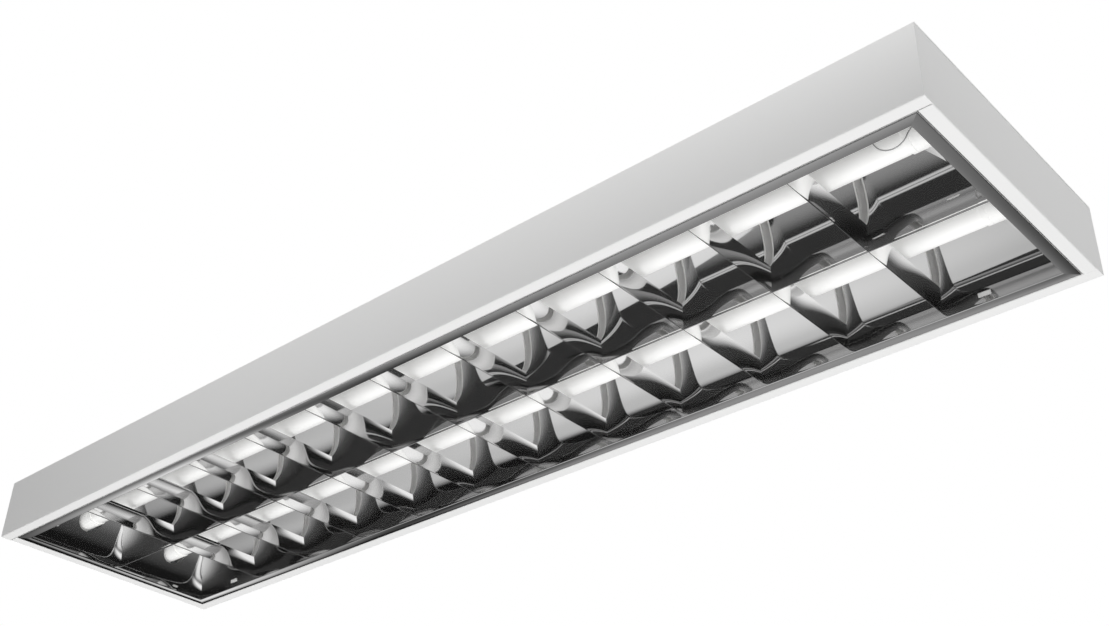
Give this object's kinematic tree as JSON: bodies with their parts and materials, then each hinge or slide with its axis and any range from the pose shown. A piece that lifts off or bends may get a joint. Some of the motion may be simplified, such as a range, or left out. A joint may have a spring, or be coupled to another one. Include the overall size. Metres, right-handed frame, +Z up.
{
  "type": "louvred fluorescent ceiling light",
  "caption": "Shallow white steel ceiling light with two long tubes behind a bright parabolic mirror louvre that drops on cords.",
  "frame": {"origin": "centre of the flat ceiling face of the housing, where it meets the ceiling", "axes": "+X along the light to its right end, +Y to the back long side, +Z up into the ceiling; the light hangs below z = 0"},
  "size_m": [1.24, 0.3, 0.072],
  "materials": {
    "white_enamel": "white powder coat, satin",
    "zinc_steel": "bright zinc plated sheet",
    "bright_aluminium": "bright anodised, mirror finish",
    "spring_steel": "bright spring strip",
    "frosted_glass": "phosphor coated inside, gloss outside",
    "pin_brass": "nickel plated",
    "white_plastic": "white moulding",
    "white_pvc": "white insulation",
    "screw_steel": "bright zinc plated",
    "ballast_steel": "pale grey coat",
    "circuit_board": "epoxy board",
    "black_rubber": "moulded",
    "brown_pvc": "insulation",
    "blue_pvc": "insulation",
    "green_yellow_pvc": "insulation",
    "nylon_cord": "translucent grey nylon"
  },
  "bodies": {
    "housing": {"ballast_board": "circuit_board", "ballast_case": "ballast_steel", "ballast_screws": "screw_steel", "ballast_sockets": "white_plastic", "bracket_screws": "screw_steel", "cable_grommet": "black_rubber", "cord_hooks": "zinc_steel", "earth_screw": "screw_steel", "end_wall_left": "white_enamel", "end_wall_right": "white_enamel", "holder_bracket_left": "zinc_steel", "holder_bracket_right": "zinc_steel", "housing_tray": "white_enamel", "lamp_holder_back_left": "white_plastic", "lamp_holder_back_right": "white_plastic", "lamp_holder_front_left": "white_plastic", "lamp_holder_front_right": "white_plastic", "lamp_lead_back_left": "white_pvc", "lamp_lead_back_right": "white_pvc", "lamp_lead_front_left": "white_pvc", "lamp_lead_front_right": "white_pvc", "lead_clips": "white_plastic", "safety_cord_left": "nylon_cord", "safety_cord_right": "nylon_cord", "terminal_block": "white_plastic", "terminal_screws": "screw_steel", "wire_earth": "green_yellow_pvc", "wire_live": "brown_pvc", "wire_neutral": "blue_pvc"},
    "louvre": {"centre_mirror": "bright_aluminium", "cord_knots": "nylon_cord", "cross_blade_01": "bright_aluminium", "cross_blade_02": "bright_aluminium", "cross_blade_03": "bright_aluminium", "cross_blade_04": "bright_aluminium", "cross_blade_05": "bright_aluminium", "cross_blade_06": "bright_aluminium", "cross_blade_07": "bright_aluminium", "cross_blade_08": "bright_aluminium", "cross_blade_09": "bright_aluminium", "cross_blade_10": "bright_aluminium", "cross_blade_11": "bright_aluminium", "end_mirror_left": "bright_aluminium", "end_mirror_right": "bright_aluminium", "louvre_springs": "spring_steel", "side_mirror_back": "bright_aluminium", "side_mirror_front": "bright_aluminium"},
    "lamp_front": {"holder_rotor_front_left": "white_plastic", "holder_rotor_front_right": "white_plastic", "tube_cap_front_left": "white_plastic", "tube_cap_front_right": "white_plastic", "tube_glass_front": "frosted_glass", "tube_pins_front": "pin_brass"},
    "lamp_back": {"holder_rotor_back_left": "white_plastic", "holder_rotor_back_right": "white_plastic", "tube_cap_back_left": "white_plastic", "tube_cap_back_right": "white_plastic", "tube_glass_back": "frosted_glass", "tube_pins_back": "pin_brass"}
  },
  "joints": [
    {"name": "louvre_drop", "type": "slide", "parent": "housing", "child": "louvre", "axis": [0, 0, -1], "range_m": [0, 0.034], "deforming": ["safety_cord_right", "safety_cord_left"]},
    {"name": "tube_twist_front", "type": "hinge", "parent": "housing", "child": "lamp_front", "pos_m": [0, -0.0625, -0.0266], "axis": [1, 0, 0], "range_deg": [0, 90]},
    {"name": "tube_twist_back", "type": "hinge", "parent": "housing", "child": "lamp_back", "pos_m": [0, 0.0625, -0.0266], "axis": [1, 0, 0], "range_deg": [0, 90]}
  ]
}
